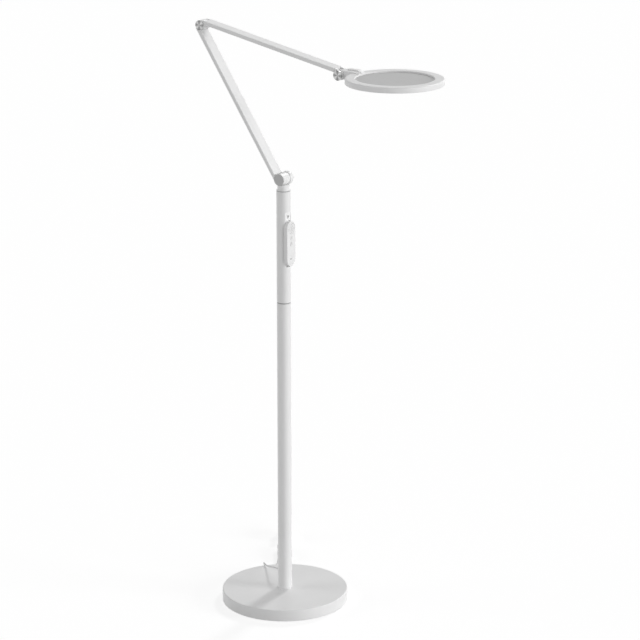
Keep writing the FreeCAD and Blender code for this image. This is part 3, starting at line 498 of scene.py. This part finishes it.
# Signs printed on the remote control, in millimetres from each key's centre: across, then up
SIGN_W = 0.36
SIGN_RELIEF = 0.12
DIAL_SIGN_R = 8.8
POWER_SIGN = [arc(2.2, 125, 415), [(0, 0.2), (0, 2.6)]]
DIAL_SIGNS = [
    [(-1.05, DIAL_SIGN_R), (1.05, DIAL_SIGN_R)],
    [(0, DIAL_SIGN_R - 1.05), (0, DIAL_SIGN_R + 1.05)],
    [(-1.2, -DIAL_SIGN_R), (1.2, -DIAL_SIGN_R)],
    [(0.75 - DIAL_SIGN_R, 1.3), (-0.75 - DIAL_SIGN_R, 0), (0.75 - DIAL_SIGN_R, -1.3)],
    [(DIAL_SIGN_R - 0.75, 1.3), (DIAL_SIGN_R + 0.75, 0), (DIAL_SIGN_R - 0.75, -1.3)],
]
PERSON_SIGN = [
    arc(1.15, 0, 360, 0, 1.45),
    [(-0.85, 0.55), (-1.6, -0.4), (-1.9, -1.3), (-1.6, -1.6), (0.6, -1.6)],
    [(0.85, 0.55), (1.15, 0.15)],
    arc(0.62, 0, 360, 1.5, -0.95),
    [(1.3, -0.95), (1.7, -0.95)],
]
CLOCK_SIGN = [
    arc(2.1, 0, 360),
    [(0, 1.25), (0, 0), (0.6, -0.35)],
    arc(2.75, 118, 150),
    arc(2.75, 30, 62),
]


def sign(name, strokes, node, body):
    """Strokes printed on the face of a key, as low ridges of ink."""
    low, high = (Vector(corner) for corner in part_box(node))
    data = bpy.data.curves.new(name, "CURVE")
    data.dimensions = "3D"
    data.bevel_depth = SIGN_W / 2 / 1000
    data.bevel_resolution = 3
    data.use_fill_caps = True
    for stroke in strokes:
        spline = data.splines.new("POLY")
        spline.points.add(len(stroke) - 1)
        for control, (across, up) in zip(spline.points, stroke):
            control.co = (0, across / 1000, up / 1000, 1)
    printed = bpy.data.objects.new(name, data)
    printed.location = (high.x, (low.y + high.y) / 2, (low.z + high.z) / 2)
    printed.scale = (SIGN_RELIEF, 1, 1)
    scene.collection.objects.link(printed)
    data.materials.append(INK.mat)
    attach(printed, body)


# Studio


def daylight():
    """Even light from all round, and pure white where the camera or a mirror looks past the lamp."""
    world = bpy.data.worlds.new("studio")
    scene.world = world
    world.use_nodes = True
    tree = world.node_tree
    fill = tree.nodes["Background"]
    fill.inputs["Color"].default_value = (1, 1, 1, 1)
    fill.inputs["Strength"].default_value = FILL
    white = tree.nodes.new("ShaderNodeBackground")
    white.inputs["Color"].default_value = (1, 1, 1, 1)
    white.inputs["Strength"].default_value = 1.0
    mix = tree.nodes.new("ShaderNodeMixShader")
    tree.links.new(seen_directly(tree), mix.inputs[0])
    tree.links.new(fill.outputs[0], mix.inputs[1])
    tree.links.new(white.outputs[0], mix.inputs[2])
    tree.links.new(mix.outputs[0], tree.nodes["World Output"].inputs["Surface"])


def seen_directly(tree):
    """1 for camera rays, and for mirror and see-through rays."""
    path = tree.nodes.new("ShaderNodeLightPath")
    total = path.outputs["Is Camera Ray"]
    for name in ("Is Glossy Ray", "Is Transmission Ray"):
        add = tree.nodes.new("ShaderNodeMath")
        add.operation = "MAXIMUM"
        tree.links.new(total, add.inputs[0])
        tree.links.new(path.outputs[name], add.inputs[1])
        total = add.outputs[0]
    return total


def ground():
    """A pale floor that looks white to the camera and keeps a faint shadow."""
    bpy.ops.mesh.primitive_plane_add(size=FLOOR_SIZE, location=(0, 0, -FLOOR_DROP))
    plane = bpy.context.object
    plane.name = "ground"
    mat = bpy.data.materials.new("ground")
    mat.use_nodes = True
    tree = mat.node_tree
    tree.nodes.remove(tree.nodes["Principled BSDF"])
    lit = tree.nodes.new("ShaderNodeBsdfDiffuse")
    lit.inputs["Color"].default_value = (FLOOR_BOUNCE, FLOOR_BOUNCE, FLOOR_BOUNCE, 1)
    faint = tree.nodes.new("ShaderNodeBsdfDiffuse")
    faint.inputs["Color"].default_value = (FLOOR_SHADOW, FLOOR_SHADOW, FLOOR_SHADOW, 1)
    glow = tree.nodes.new("ShaderNodeEmission")
    glow.inputs["Strength"].default_value = FLOOR_GLOW
    add = tree.nodes.new("ShaderNodeAddShader")
    mix = tree.nodes.new("ShaderNodeMixShader")
    tree.links.new(faint.outputs[0], add.inputs[0])
    tree.links.new(glow.outputs[0], add.inputs[1])
    tree.links.new(seen_directly(tree), mix.inputs[0])
    tree.links.new(lit.outputs[0], mix.inputs[1])
    tree.links.new(add.outputs[0], mix.inputs[2])
    tree.links.new(mix.outputs[0], tree.nodes["Material Output"].inputs["Surface"])
    plane.data.materials.append(mat)


def sun(name, strength, turn, height, softness):
    """A soft distant light: turned to the camera's right from the line towards the camera."""
    data = bpy.data.lights.new(name, "SUN")
    data.energy = strength
    data.angle = math.radians(softness)
    lamp = bpy.data.objects.new(name, data)
    azimuth = math.radians(CAM_AZIMUTH - 90 + turn)
    level = math.cos(math.radians(height))
    towards = Vector((level * math.cos(azimuth), level * math.sin(azimuth), math.sin(math.radians(height))))
    lamp.rotation_euler = towards.to_track_quat("Z", "Y").to_euler()
    scene.collection.objects.link(lamp)


scene.view_settings.view_transform = "Standard"
camera()
lead = lead_curve()
lead.data.materials.append(LOOKS["cable"].mat)
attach(lead, "stand")
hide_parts("power_cord", "cord_hank", "cord_lead")
lead_points()[0]
dress()
sign("sign_power", POWER_SIGN, "power_button", "power_button")
sign("sign_dial", DIAL_SIGNS, "dial_ring", "dial_ring")
sign("sign_preset", PERSON_SIGN, "preset_button", "preset_button")
sign("sign_timer", CLOCK_SIGN, "timer_button", "timer_button")
daylight()
ground()
for light in SUNS:
    sun(*light)
